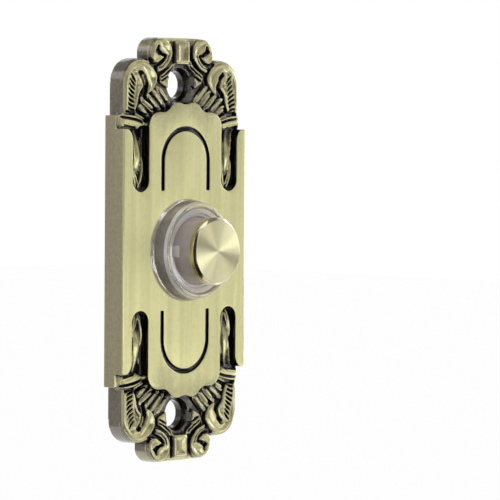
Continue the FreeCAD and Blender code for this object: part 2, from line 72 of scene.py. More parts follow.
def span(name):
    """A node's box in millimetres: its half width, half length, lowest and highest height."""
    low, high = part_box(name)
    return high[0] / MM, high[2] / MM, -high[1] / MM, -low[1] / MM


plate_half_x, plate_half_z, _, front = span("faceplate")
ring_r, _, ring_low, ring_top = span("light_ring")
cap_r, _, cap_low, cap_top = span("push_cap")
print("plate", plate_half_x, plate_half_z, front, "ring", ring_r, ring_top, "cap", cap_r, cap_top)

# %% [markdown]
# Materials are node trees. Two helpers keep them short: one turns the hex colours of a paint
# card into the linear values that light is worked out in, and one adds a node together with
# its settings and links.

# %% Colour and node helpers


def colour(code):
    """A linear RGBA colour from an sRGB hex code."""
    channels = [int(code[i : i + 2], 16) / 255 for i in (0, 2, 4)]
    linear = [c / 12.92 if c <= 0.04045 else ((c + 0.055) / 1.055) ** 2.4 for c in channels]
    return (*linear, 1.0)


def add(tree, kind, values=(), links=(), **settings):
    """A node with its settings, the values of its sockets, and the outputs linked to them."""
    new = tree.nodes.new(kind)
    for name, value in settings.items():
        setattr(new, name, value)
    for socket, value in dict(values).items():
        new.inputs[socket].default_value = value
    for socket, source in dict(links).items():
        tree.links.new(source, new.inputs[socket])
    return new


def new_material(name):
    """An empty material, its tree and its output node."""
    material = bpy.data.materials.new(name)
    material.use_nodes = True
    tree = material.node_tree
    tree.nodes.clear()
    return material, tree, add(tree, "ShaderNodeOutputMaterial")


def shades(tree, source, low, high, start=0.3, end=0.7):
    """A two-colour ramp over a pattern's value, between two points of that value."""
    ramp = add(tree, "ShaderNodeValToRGB", (), {"Fac": source})
    for element, place, code in zip(ramp.color_ramp.elements, (start, end), (low, high)):
        element.position = place
        element.color = colour(code)
    return ramp.outputs["Color"]


# %% [markdown]
# The plate is a zinc casting, plated with brass, dipped to turn it black, brushed upright on a
# belt and lacquered. The belt wipes the black off what stands proud and leaves it in the
# hollows. An attribute, worked out later for each spot of the casting, says which is which,
# and in a few spots it also carries painted highlights and painted shade. A ramp turns it
# from dip through half-worn dip to brass. The dip is a dark metal that still mirrors a
# little. Brushing leaves fine upright lines, so the noise is stretched along Z, and the
# tangent lies across them, which spreads a reflection sideways. The lacquer is a thin clear
# coat: it is what shines on the black.

# %% Antique brass


def antique_brass():
    material, tree, output = new_material("antique brass plating, brushed over a black dip")
    place = add(tree, "ShaderNodeTexCoord").outputs["Object"]
    wear_and_painted_light = add(tree, "ShaderNodeAttribute", attribute_name="wear_and_painted_light").outputs["Fac"]
    line_width, line_length, band_width = 0.3, 16, 2.5
    stretched = add(
        tree, "ShaderNodeMapping",
        {"Scale": (1 / line_width / MM, 1 / line_width / MM, 1 / line_length / MM)},
        {"Vector": place},
    )
    grain = add(
        tree, "ShaderNodeTexNoise", {"Scale": 1.0, "Detail": 3.0, "Roughness": 0.6},
        {"Vector": stretched.outputs[0]},
    )
    broad = add(
        tree, "ShaderNodeMapping",
        {"Scale": (1 / band_width / MM, 1 / band_width / MM, 1 / 70 / MM)}, {"Vector": place},
    )
    bands = add(
        tree, "ShaderNodeTexNoise", {"Scale": 1.0, "Detail": 2.0}, {"Vector": broad.outputs[0]}
    )
    both = add(
        tree, "ShaderNodeMath", {1: 0.6}, {0: grain.outputs["Fac"], 2: bands.outputs["Fac"]},
        operation="MULTIPLY_ADD",
    )
    brass = shades(tree, both.outputs[0], "C8C48D", "D8D49A", 0.55, 1.05)
    pits = add(
        tree, "ShaderNodeTexNoise", {"Scale": 1 / 0.8 / MM, "Detail": 3.0}, {"Vector": place}
    )
    patchy = add(
        tree, "ShaderNodeMapRange", {"From Min": 0.35, "From Max": 0.65, "To Min": -0.05, "To Max": 0.05},
        {"Value": pits.outputs["Fac"]},
    )
    mask = add(
        tree, "ShaderNodeMath", (), {0: wear_and_painted_light, 1: patchy.outputs[0]}, operation="ADD", use_clamp=True
    )
    front_facing = add(tree, "ShaderNodeAttribute", attribute_name="front").outputs["Fac"]
    worn = add(
        tree, "ShaderNodeMix", (),
        {
            "Factor": front_facing,
            "A": shades(tree, mask.outputs[0], "302D31", "989184", 0.02, 0.5),
            "B": shades(tree, mask.outputs[0], "302D31", "958F68", 0.02, 0.5),
        },
        data_type="RGBA",
    ).outputs["Result"]
    clean = add(
        tree, "ShaderNodeMapRange", {"From Min": 0.5, "From Max": 1.0}, {"Value": mask.outputs[0]}
    )
    base = add(
        tree, "ShaderNodeMix", (), {"Factor": clean.outputs[0], "A": worn, "B": brass},
        data_type="RGBA",
    )
    rough = add(
        tree, "ShaderNodeMapRange", {"To Min": 0.18, "To Max": 0.42}, {"Value": mask.outputs[0]}
    )
    lines = add(
        tree, "ShaderNodeBump", {"Strength": 0.1, "Distance": 0.02 * MM},
        {"Height": grain.outputs["Fac"]},
    )
    across = add(tree, "ShaderNodeTangent", direction_type="RADIAL", axis="Z")
    shader = add(
        tree, "ShaderNodeBsdfPrincipled",
        {
            "Metallic": 1.0, "Anisotropic": 0.9,
            "Coat Weight": 1.0, "Coat Roughness": 0.08, "Coat IOR": 1.5,
        },
        {
            "Roughness": rough.outputs[0],
            "Normal": lines.outputs[0],
            "Base Color": base.outputs["Result"],
            "Tangent": across.outputs[0],
        },
    )
    tree.links.new(shader.outputs[0], output.inputs["Surface"])
    return material


plate_finish = antique_brass()

# %% [markdown]
# The cap is turned from brass bar. The tool leaves rings finer than the eye can part, and
# they spread a highlight across themselves, which gives the face its bright and dark fans.
# That is anisotropy round the button's axis. The tangent runs round Y, and a quarter turn of
# the anisotropy spreads the light from the centre outwards.

# %% Turned brass


def turned_brass():
    material, tree, output = new_material("turned brass, spun face, lacquered")
    place = add(tree, "ShaderNodeTexCoord").outputs["Object"]
    flat = add(tree, "ShaderNodeVectorMath", {1: (1, 0, 1)}, {0: place}, operation="MULTIPLY")
    radius = add(tree, "ShaderNodeVectorMath", (), {0: flat.outputs[0]}, operation="LENGTH")
    rings = add(
        tree, "ShaderNodeTexNoise", {"Scale": 1 / 0.15 / MM, "Detail": 3.0},
        {"W": radius.outputs["Value"]}, noise_dimensions="1D",
    )
    tint = shades(tree, rings.outputs["Fac"], "DAD5A8", "E6E3BD")
    tangent = add(tree, "ShaderNodeTangent", direction_type="RADIAL", axis="Y")
    shader = add(
        tree, "ShaderNodeBsdfPrincipled",
        {"Metallic": 1.0, "Roughness": 0.4, "Anisotropic": 1.0, "Anisotropic Rotation": 0.25},
        {"Base Color": tint, "Tangent": tangent.outputs[0]},
    )
    tree.links.new(shader.outputs[0], output.inputs["Surface"])
    return material


cap_face_finish = turned_brass()

# %% [markdown]
# The cap's side and chamfer are cut with a broad tool and polished, so they mirror the studio
# almost sharply. A faint ring pattern across the button's axis is all that the tool left.

# %% Polished edge of the cap


def polished_brass():
    material, tree, output = new_material("turned brass, polished edge")
    place = add(tree, "ShaderNodeTexCoord").outputs["Object"]
    along = add(tree, "ShaderNodeSeparateXYZ", (), {0: place})
    rings = add(
        tree, "ShaderNodeTexNoise", {"Scale": 1 / 0.25 / MM, "Detail": 2.0},
        {"W": along.outputs["Y"]}, noise_dimensions="1D",
    )
    rough = add(
        tree, "ShaderNodeMapRange", {"To Min": 0.1, "To Max": 0.2}, {"Value": rings.outputs["Fac"]}
    )
    shader = add(
        tree, "ShaderNodeBsdfPrincipled", {"Metallic": 1.0},
        {
            "Base Color": shades(tree, rings.outputs["Fac"], "C3B99E", "D3CAB2"),
            "Roughness": rough.outputs[0],
        },
    )
    tree.links.new(shader.outputs[0], output.inputs["Surface"])
    return material


cap_edge_finish = polished_brass()

# %% [markdown]
# Ring and plunger are acrylic, injection moulded. Acrylic bends light much as window glass
# does. The ring is clear but slightly smoky, and its turned mould left fine rings, which a
# bump over the radius draws. The plunger's mould was blasted, so its skin is frosted and
# scatters most of what comes through.

# %% Acrylic


def acrylic(name, low, high, roughness, clear, wave_mm):
    material, tree, output = new_material(name)
    place = add(tree, "ShaderNodeTexCoord").outputs["Object"]
    flow = add(
        tree, "ShaderNodeTexNoise", {"Scale": 1 / wave_mm / MM, "Detail": 3.0}, {"Vector": place}
    )
    tint = shades(tree, flow.outputs["Fac"], low, high)
    flat = add(tree, "ShaderNodeVectorMath", {1: (1, 0, 1)}, {0: place}, operation="MULTIPLY")
    radius = add(tree, "ShaderNodeVectorMath", (), {0: flat.outputs[0]}, operation="LENGTH")
    mould_lines = add(
        tree, "ShaderNodeTexNoise", {"Scale": 1 / 0.4 / MM, "Detail": 2.0},
        {"W": radius.outputs["Value"]}, noise_dimensions="1D",
    )
    wave = add(
        tree, "ShaderNodeBump", {"Strength": 0.5, "Distance": 0.05 * MM},
        {"Height": mould_lines.outputs["Fac"]},
    )
    shader = add(
        tree, "ShaderNodeBsdfPrincipled",
        {"Roughness": roughness, "IOR": 1.49, "Transmission Weight": clear},
        {"Normal": wave.outputs[0], "Base Color": tint},
    )
    tree.links.new(shader.outputs[0], output.inputs["Surface"])
    return material


ring_finish = acrylic("clear acrylic, injection moulded", "F0ECEC", "FAF8F7", 0.04, 0.86, 3)
# Smoky finish: the ring's blasted outer wall, whose darker tone is partly painted shade, and painted dark lines on
# its steps.
smoky_wall_and_shade_finish = acrylic("smoky acrylic, blasted wall and painted shade", "8F8784", "ABA39E", 0.22, 0.5, 2)
# Bright finish: painted bright arcs on the ring's steps and a painted highlight line on its bead.
bright_arc_finish = acrylic("clear acrylic, painted bright arcs", "DCD9DC", "EDEAED", 0.12, 0.25, 3)
# Paler finish of the guide ribs: a painted highlight standing for light gathered in the thick acrylic.
key_finish = acrylic("frosted acrylic, painted paler at the key", "EDEBE4", "F8F6F0", 0.3, 0.05, 2.5)
plunger_finish = acrylic("frosted acrylic, injection moulded", "C4BAB5", "D6CCC7", 0.35, 0.25, 2.5)

# %% [markdown]
# The pieces behind the plate are plain industrial finishes: pressed phenolic, a painted lamp
# board, ceramic, tinned wire, phosphor bronze and plated steel. They differ in colour, in
# gloss and in the size of their grain, so one function makes them all.

# %% Finishes behind the plate


def industrial(name, low, high, roughness, grain_mm, metallic=0.0, stretch=(1, 1, 1)):
    """A finish with a grain of the given size, which varies its colour, gloss and surface."""
    material, tree, output = new_material(name)
    place = add(tree, "ShaderNodeTexCoord").outputs["Object"]
    scale = tuple(1 / grain_mm / MM / s for s in stretch)
    grain_place = add(tree, "ShaderNodeMapping", {"Scale": scale}, {"Vector": place})
    grain = add(
        tree, "ShaderNodeTexNoise", {"Scale": 1.0, "Detail": 4.0, "Roughness": 0.6},
        {"Vector": grain_place.outputs[0]},
    )
    gloss = add(
        tree, "ShaderNodeMapRange", {"To Min": roughness * 0.8, "To Max": roughness * 1.2},
        {"Value": grain.outputs["Fac"]},
    )
    relief = add(
        tree, "ShaderNodeBump", {"Strength": 0.15, "Distance": 0.03 * MM},
        {"Height": grain.outputs["Fac"]},
    )
    shader = add(
        tree, "ShaderNodeBsdfPrincipled", {"Metallic": metallic},
        {
            "Base Color": shades(tree, grain.outputs["Fac"], low, high),
            "Roughness": gloss.outputs[0],
            "Normal": relief.outputs[0],
        },
    )
    tree.links.new(shader.outputs[0], output.inputs["Surface"])
    return material


phenolic = industrial("black phenolic, pressed", "161514", "232120", 0.38, 0.8)
laminate = industrial("glass laminate, white solder mask", "C9CBC6", "D9DAD5", 0.45, 1.2)
lamp_case = industrial("lamp body, white resin", "E3E0D4", "EFEDE4", 0.35, 0.6)
ceramic = industrial("resistor ceramic, glazed black", "1C1D20", "2C2D30", 0.25, 0.4)
tin = industrial("tinned copper wire", "B9B9B6", "CFCFCC", 0.3, 0.3, 1.0, (1, 4, 1))
bronze = industrial("phosphor bronze, rolled", "B98F63", "C9A277", 0.28, 0.25, 1.0, (6, 1, 1))
steel = industrial("zinc plated steel, turned", "B5B6B4", "CBCBC7", 0.3, 0.3, 1.0, (1, 5, 1))
spring_wire = industrial("spring steel, drawn and oiled", "8E8E8C", "A9A9A6", 0.3, 0.3, 1.0)

# %% [markdown]
# The plate's soft cast shapes come from a voxel remesh: simple solids are laid into each other
# and the remesh melts them into one skin, as wax runs together before a casting is poured.
# The CAD plate is cut in two by height. The lower part keeps every outline, hole and hollow of
# the ornament. The upper part is the flat panel, and it is carried down into the lower one, so
# that the panel's edges and its U groove stay crisp.

# %% Ground of the plate


def cut_copy(height, keep_low):
    """A copy of the CAD plate, cut across at a height, and the edges of the cut."""
    mesh = bmesh.new()
    mesh.from_mesh(nodes["faceplate"].data)
    bmesh.ops.remove_doubles(mesh, verts=mesh.verts, dist=0.002 * MM)
    cut = bmesh.ops.bisect_plane(
        mesh,
        geom=mesh.verts[:] + mesh.edges[:] + mesh.faces[:],
        plane_co=at(0, 0, height),
        plane_no=(0, -1, 0),
        clear_outer=keep_low,
        clear_inner=not keep_low,
    )
    return mesh, [e for e in cut["geom_cut"] if isinstance(e, bmesh.types.BMEdge)]


def as_mesh(mesh, name):
    data = bpy.data.meshes.new(name)
    mesh.to_mesh(data)
    mesh.free()
    return data


floor_h, relief_top, panel_cut = 3.4, 4.95, 5.2
ground, rim = cut_copy(relief_top, True)
bmesh.ops.holes_fill(ground, edges=rim)
panel, rim = cut_copy(panel_cut, False)
sides = bmesh.ops.extrude_edge_only(panel, edges=rim)["geom"]
sunk = [v for v in sides if isinstance(v, bmesh.types.BMVert)]
bmesh.ops.translate(panel, verts=sunk, vec=at(0, 0, floor_h + 0.3 - panel_cut))
bmesh.ops.holes_fill(panel, edges=[e for e in sides if isinstance(e, bmesh.types.BMEdge)])
solids = [as_mesh(ground, "ground"), as_mesh(panel, "panel")]
print("ground and panel cut from the CAD plate")

# %% [markdown]
# A lobe, a husk or a curled edge is a ridge that swells and thins along a curve. A curve
# object with a round bevel does just that: each point carries its own radius. The tube is
# then stretched in height. Each is drawn once, at the top right, and mirrored later.

# %% Ridges


def ridge(points, middle, rise):
    """A ridge through (x, z, half width) points, from its middle's height and its rise."""
    curve = bpy.data.curves.new("ridge", "CURVE")
    curve.dimensions = "3D"
    curve.bevel_depth = MM
    curve.bevel_resolution = 5
    curve.resolution_u = 10
    curve.use_fill_caps = True
    spline = curve.splines.new("NURBS")
    spline.points.add(len(points) - 1)
    for point, (x, z, half) in zip(spline.points, points):
        point.co = (x * MM, 0, z * MM, 1)
        point.radius = half
    spline.order_u = min(4, len(points))
    spline.use_endpoint_u = True
    holder = bpy.data.objects.new("ridge", curve)
    bpy.context.collection.objects.link(holder)
    data = bpy.data.meshes.new_from_object(holder)
    bpy.data.objects.remove(holder)
    widest = max(half for _, _, half in points)
    data.transform(Matrix.Scale(rise / widest, 4, (0, 1, 0)))
    data.transform(Matrix.Translation(at(0, 0, middle)))
    return data


hole_z = 37.5
bars = [
    ((4.1, 33.2), (8.4, 37.1), 1.6),
    ((5.6, 32.4), (9.5, 36.2), 1.45),
    ((7.1, 31.6), (11.4, 35.2), 1.5),
    ((9.1, 31.0), (13.5, 34.5), 1.5),
    ((10.8, 30.3), (14.0, 32.8), 1.5),
]
quarter = []
for (x0, z0), (x1, z1), width in bars:
    line = [(-0.12, 0.6), (0.05, 0.95), (0.5, 1.0), (0.92, 0.95), (1.0, 0.6)]
    path = [(x0 + (x1 - x0) * share, z0 + (z1 - z0) * share, size * width / 2) for share, size in line]
    quarter.append(ridge(path, 3.7, 1.2))
print("lobes of the fan:", len(quarter))

# %% [markdown]
# The leaf that hangs in the slot is a husk: a long round body that narrows to a point, with a
# second blade beside it and slanting veins across its foot. The ribbon above it is a folded
# band, drawn as its two raised edges. Two cords run under the small scroll. Last, a rounded
# rim follows the outline of both lobes, so that the plate's wall runs up to the crest.

# %% Husk, ribbon, cords and rims
husk = [(15.2, 27.2, 0.5), (14.7, 25.2, 0.8), (14.5, 22.5, 1.4), (14.5, 19.4, 1.4), (14.5, 16.6, 0.4)]
quarter.append(ridge(husk, 3.5, 1.75))
for leaf in (
    [(12.9, 21.4, 0.25), (12.8, 18.8, 0.6), (13.2, 16.4, 0.6), (14.1, 14.1, 0.3)],
    [(16.2, 20.6, 0.25), (16.2, 18.4, 0.5), (15.7, 16.2, 0.5), (14.8, 14.0, 0.3)],
    [(15.7, 18.4, 0.2), (14.9, 16.9, 0.35), (14.3, 14.8, 0.25)],
):
    quarter.append(ridge(leaf, 3.9, 1.2))


def rounded(centre, radius, first, last, half, count=7):
    """Points of an arc about a centre, as a ridge wants them."""
    turns = [math.radians(first + (last - first) * i / (count - 1)) for i in range(count)]
    return [(centre[0] + radius * math.cos(t), centre[1] + radius * math.sin(t), half) for t in turns]


big_lobe, big_lobe_r, small_lobe, small_lobe_r = (13.1, 37.7), 5.5, (6.6, 44.4), 3.6
rim = 0.36
side_x = big_lobe[0] + big_lobe_r - rim
big_rim = [(side_x, 30.9, rim), (side_x, 33.0, rim), (side_x, 35.5, rim)]
big_rim += rounded(big_lobe, big_lobe_r - rim, 0, 118, rim)
small_rim = rounded(small_lobe, small_lobe_r - rim, -42, 118, rim)
eye_glint = [(12.5, 39.4, 0.15), (12.1, 38.4, 0.26), (11.5, 37.2, 0.15)]
raised = [
    (big_rim, 3.5, 1.15),
    (small_rim, 3.5, 1.15),
    ([(18.7, 27.7, 0.6), (18.8, 28.6, 0.8), (18.7, 29.7, 0.8), (18.4, 30.7, 0.6)], 3.2, 1.5),
    ([(18.4, 30.2, 0.35), (16.9, 30.4, 0.35), (14.8, 30.0, 0.35), (12.5, 29.1, 0.25)], 4.3, 0.6),
    ([(18.6, 28.9, 0.7), (16.9, 28.8, 0.75), (15.2, 28.3, 0.6), (13.6, 27.6, 0.4)], 4.0, 0.95),
    ([(3.0, 42.0, 0.2), (4.7, 40.5, 0.26), (6.6, 39.5, 0.22)], 4.3, 0.5),
    ([(2.4, 41.4, 0.2), (3.9, 40.2, 0.24), (6.3, 38.8, 0.2)], 4.3, 0.4),
    ([(6.9, 43.7, 0.15), (7.7, 44.1, 0.22), (8.3, 44.7, 0.15)], 3.9, 0.7),
    (eye_glint, 3.8, 0.75),
    ([(14.3, 40.1, 0.4), (15.1, 40.7, 0.6), (15.8, 40.4, 0.4)], 3.9, 0.85),
]
for points, middle, rise in raised:
    quarter.append(ridge(points, middle, rise))
print("ridges of one quarter:", len(quarter))

# %% One skin


def merged(meshes, mirrored, name):
    """All the solids as one mesh, with the quarter repeated by mirroring in X and in Z."""
    mesh = bmesh.new()
    for data in meshes:
        mesh.from_mesh(data)
    for data in mirrored:
        for across in (1, -1):
            for up in (1, -1):
                copy = data.copy()
                copy.transform(Matrix.Diagonal((across, 1, up, 1)))
                mesh.from_mesh(copy)
                bpy.data.meshes.remove(copy)
    bmesh.ops.recalc_face_normals(mesh, faces=mesh.faces)
    return as_mesh(mesh, name)


def shown(data, name):
    piece = bpy.data.objects.new(name, data)
    bpy.context.collection.objects.link(piece)
    return piece


def apply_modifiers(piece):
    """The piece's mesh, with its modifiers worked in."""
    depsgraph = bpy.context.evaluated_depsgraph_get()
    data = bpy.data.meshes.new_from_object(piece.evaluated_get(depsgraph))
    piece.modifiers.clear()
    piece.data = data


casting = shown(merged(solids, quarter, "casting"), "casting")
melt = casting.modifiers.new("melt", "REMESH")
melt.mode = "VOXEL"
melt.voxel_size = 0.15 * MM
soften = casting.modifiers.new("soften", "SMOOTH")
soften.factor = 0.5
soften.iterations = 2
apply_modifiers(casting)
print("skin after the melt:", len(casting.data.polygons), "faces")

# %% [markdown]
# Wax is then worked with a tool, and so is this skin. A scroll's top isn't flat: it falls away
# at its edge, has a bead just inside, and is dished between. How far a spot lies from the
# edge of its form says how high it should be, and a slice through the CAD plate just under
# the tops gives those edges. Then each vein, crease and hollow is pressed in along its path:
# a spot near the path sinks, and most in the middle. The middle block is rubbed down to a
# soft barrel.

# %% Sculpted lines


def near(x, z, path):
    """How far a spot is from a path of (x, z) points."""
    nearest = math.inf
    for (ax, az), (bx, bz) in zip(path, path[1:]):
        dx, dz = bx - ax, bz - az
        share = ((x - ax) * dx + (z - az) * dz) / (dx * dx + dz * dz)
        share = min(1.0, max(0.0, share))
        nearest = min(nearest, math.hypot(x - ax - share * dx, z - az - share * dz))
    return nearest


def eased(value, low, high):
    """0 below low, 1 above high, and a soft step between."""
    share = min(1.0, max(0.0, (value - low) / (high - low)))
    return share * share * (3 - 2 * share)


def slanted(x, z, length, degrees):
    c, s = math.cos(math.radians(degrees)), math.sin(math.radians(degrees))
    half = length / 2
    return [(x - half * c, z - half * s), (x + half * c, z + half * s)]


pressed = []
vein_count = 8
for i in range(vein_count):
    share = i / (vein_count - 1)
    x = 15.6 + 0.85 * math.sin(share * math.pi / 2)
    pressed.append((slanted(x, 38.8 - i, 1.9, 50 - 32 * share), 0.24, 0.95))
for (x0, z0), (x1, z1), _ in bars:
    pressed.append(([(x0 + 0.5, z0 + 0.45), (x1 - 0.5, z1 - 0.45)], 0.45, 0.18))
eye = [(7.9, 45.9), (7.8, 44.9), (6.7, 44.1), (5.5, 43.9)]
under_lip = [(5.5, 43.9), (6.1, 43.0), (7.3, 42.2), (8.6, 41.7)]
pressed += [(eye, 0.42, 1.3), (under_lip, 0.36, 1.3)]
pressed.append(([(8.1, 41.0), (6.4, 41.5), (5.1, 42.7), (4.6, 44.0)], 0.25, 0.35))
pressed.append(([(3.8, 42.6), (5.3, 41.0), (7.4, 40.0)], 0.28, 1.2))
pressed.append(([(2.9, 41.6), (4.4, 40.2), (6.6, 39.1)], 0.2, 0.8))
pressed.append(([(2.2, 41.0), (3.9, 39.5), (6.4, 38.3)], 0.22, 0.8))
pressed.append(([(18.9, 30.0), (15.2, 29.5), (12.8, 28.8)], 0.3, 0.9))
print("pressed lines:", len(pressed))


def barrel(x, z):
    """Height of the middle block: a soft barrel that falls away at all four edges."""
    half_x, low_z, high_z, top, soft = 2.25, 41.7, 47.4, 5.05, 1.1
    edge = min((half_x - x) * 4, z - low_z, high_z - z)
    if edge <= 0:
        return math.inf
    fall = max(0.0, soft - edge) / soft
    middle_z, half_z = (low_z + high_z) / 2, (high_z - low_z) / 2
    crown = 0.05 * (x / half_x) ** 2 + 0.14 * ((z - middle_z) / half_z) ** 2
    return top - crown - soft * (1 - math.sqrt(max(0.0, 1 - fall * fall)))


# %% Working the skin
shoulder_z, slot_low_z, slot_in_x, slot_out_x = 27.4, 13.3, 11.8, 17.0


def in_ornament(x, z, height):
    """Whether a spot, folded to the top right quarter, lies in the relief."""
    in_end = z > shoulder_z
    in_slot = slot_low_z < z <= shoulder_z and slot_in_x < x < slot_out_x
    return (in_end or in_slot) and floor_h + 0.1 < height < relief_top + 0.35


slice_h, sample = 4.15, 0.2
sliced, rim_edges = cut_copy(slice_h, True)
marks = []
for edge in rim_edges:
    a, b = (v.co for v in edge.verts)
    in_head = math.hypot(abs(a.x) / MM - 15.1, abs(a.z) / MM - 40.7) < 1.2
    if min(abs(a.z), abs(b.z)) > slot_low_z * MM and not in_head:
        count = max(1, round((b - a).length / (sample * MM)))
        marks += [a.lerp(b, i / count) for i in range(count)]
sliced.free()
edge_marks = kdtree.KDTree(len(marks))
for i, mark in enumerate(marks):
    edge_marks.insert((mark.x, 0, mark.z), i)
edge_marks.balance()
print("marks on the edges of the forms:", len(marks))


def plump(off):
    """How far a top rises or sinks, from how far it lies from the edge of its form."""
    shoulder, drop, bead, dish, dish_end = 0.55, 0.6, 0.12, 0.42, 1.7
    fall = max(0.0, shoulder - off) / shoulder
    round_off = drop * (1 - math.sqrt(max(0.0, 1 - fall * fall)))
    return bead - round_off - dish * eased(off, shoulder * 0.8, dish_end)


mesh = bmesh.new()
mesh.from_mesh(casting.data)
relief = []
for vertex in mesh.verts:
    x, z, height = abs(vertex.co.x) / MM, abs(vertex.co.z) / MM, -vertex.co.y / MM
    if z > slot_low_z and in_ornament(x, z, height):
        relief.append(vertex)
for vertex in relief:
    height = -vertex.co.y / MM
    if height > slice_h and abs(vertex.co.z) > shoulder_z * MM:
        off = edge_marks.find((vertex.co.x, 0, vertex.co.z))[2] / MM
        vertex.co.y -= plump(off) * MM * eased(height, slice_h, slice_h + 0.2)
for _ in range(2):
    bmesh.ops.smooth_vert(mesh, verts=relief, factor=0.5, use_axis_x=True, use_axis_y=True, use_axis_z=True)
boxes = [
    (min(p[0] for p in path) - half, max(p[0] for p in path) + half,
     min(p[1] for p in path) - half, max(p[1] for p in path) + half, path, half, depth)
    for path, half, depth in pressed
]
moved = 0
for vertex in relief:
    x, z, height = abs(vertex.co.x) / MM, abs(vertex.co.z) / MM, -vertex.co.y / MM
    drop = 0.0
    for x0, x1, z0, z1, path, half, depth in boxes:
        if x0 < x < x1 and z0 < z < z1:
            off = near(x, z, path) / half
            if off < 1:
                drop = max(drop, depth * (1 - off * off))
    lower = min(height, barrel(x, z))
    lower = max(min(lower, floor_h + 0.1), lower - drop) if drop else lower
    if lower < height:
        vertex.co.y = -lower * MM
        moved += 1
mesh.to_mesh(casting.data)
mesh.free()
print("worked spots:", moved, "of", len(relief))

# %% Thinning the skin
target_faces = 170000
thin = casting.modifiers.new("thin", "DECIMATE")
thin.ratio = min(1.0, target_faces / (2 * len(casting.data.polygons)))
apply_modifiers(casting)
print("skin after thinning:", len(casting.data.polygons), "faces")

# %% [markdown]
# Where the brushing belt could reach, the black dip is gone. How open a spot is says that
# well: from each point of the skin, rays go out in a fan, and the share that gets away
# without meeting the plate tells how open it is. The belt runs over the front, so the plate's
# walls keep half their dip, and the sunk slots, the screw holes and their seats nearly all
# of it. A few spots carry painted light on top of that: the small ridge in the big scroll's
# eye is set bright as a painted glint, the husk's crest in the slot is set bright, partly
# worn brass and partly a painted highlight, the walls round the small lobe's crown are set
# brighter as a painted highlight, and the middle block is held darker, partly dip and partly
# painted shade, with a painted highlight along its foot.

# %% Wear and painted light


def fan(count):
    """Directions spread evenly over a half sphere round +Z."""
    turn = math.pi * (3 - math.sqrt(5))
    directions = []
    for i in range(count):
        up = 1 - (i + 0.5) / count
        flat = math.sqrt(1 - up * up)
        directions.append(Vector((math.cos(i * turn) * flat, math.sin(i * turn) * flat, up)))
    return directions


tab_wall, lobe_wall, crown_wall_painted_light, ledge_z = 0.64, 0.35, 0.66, 30.4
relief_wiped, lobe_wiped, block_wear_and_shade = 0.69, 0.62, 0.56


def on_fan(x, z):
    """Whether a spot lies on a lobe of the fan."""
    return 29 < z < 38.5 and min(near(x, z, (a, b)) for a, b, _ in bars) < 0.9


def wear_and_painted_light_share(data, reach, count=26):
    tree = bvhtree.BVHTree.FromPolygons(
        [v.co for v in data.vertices], [p.vertices[:] for p in data.polygons]
    )
    directions = fan(count)
    values, fronts = [], []
    for vertex in data.vertices:
        x, z, height = abs(vertex.co.x) / MM, abs(vertex.co.z) / MM, -vertex.co.y / MM
        facing = -vertex.normal.y
        fronts.append(eased(facing, 0.1, 0.6))
        turn = vertex.normal.to_track_quat("Z", "Y")
        start = vertex.co + vertex.normal * 0.03 * MM
        free = sum(tree.ray_cast(start, turn @ d, reach)[0] is None for d in directions)
        # Walls above z 44.5, round the small lobe's crown, are set brighter: a painted highlight.
        wall = lobe_wall + (crown_wall_painted_light - lobe_wall) * eased(z, 44.5, 46.5)
        if z < ledge_z:
            wall = tab_wall if height < floor_h + 0.1 or x > 19.6 else 0.1
        value = eased(free / count, 0.45, 0.85) * (wall + (1 - wall) * eased(facing, 0.1, 0.6))
        in_slot = slot_low_z - 0.2 < z < shoulder_z + 0.3 and slot_in_x - 0.2 < x < slot_out_x + 0.2
        in_hole = math.hypot(x, z - hole_z) < 4.6
        on_block = x < 2.3 and 42.6 < z < 46.8
        # The slot keeps its dip, but the husk's front-facing crest is set bright: partly worn brass, partly a
        # painted highlight streak.
        if in_slot and height < 5.6:
            value = 0.06 + 0.1 * value + 0.75 * eased(height, 4.1, 5.0) * eased(facing, 0.3, 0.9)
        elif in_hole and height < relief_top:
            value *= 0.1
        # Painted highlight: the small ridge in the big scroll's eye is set bright so that it shows as a glint.
        elif height > 3.9 and near(x, z, [(a, b) for a, b, _ in eye_glint]) < 0.3:
            value = 0.8
        # The middle block is held darker than the other tops, partly dip left on it and partly painted shade, and
        # its foot, the edge towards the plate's middle, is set bright as a painted highlight.
        elif on_block and height > 4.0:
            value = block_wear_and_shade + 0.4 * eased(43.3 - z, 0, 0.7)
        elif z > ledge_z and height > floor_h + 0.2 and facing > 0.1:
            value *= lobe_wiped if on_fan(x, z) else relief_wiped
        values.append(value)
    return values, fronts


for name, values in zip(("wear_and_painted_light", "front"), wear_and_painted_light_share(casting.data, 4.5 * MM)):
    layer = casting.data.attributes.new(name, "FLOAT", "POINT")
    layer.data.foreach_set("value", values)
casting.data.materials.clear()
casting.data.materials.append(plate_finish)
for polygon in casting.data.polygons:
    polygon.use_smooth = True
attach(casting, "housing")
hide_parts("faceplate")

# %% [markdown]
# Ring, plunger and cap are bodies of revolution. Half of each section is drawn once, as the
# turner of its mould would see it, and spun round the button's axis. The sharp rings of edges
# are then bevelled, because a moulded or turned edge always has a small radius that catches
# the light.

# %% Spinning a section


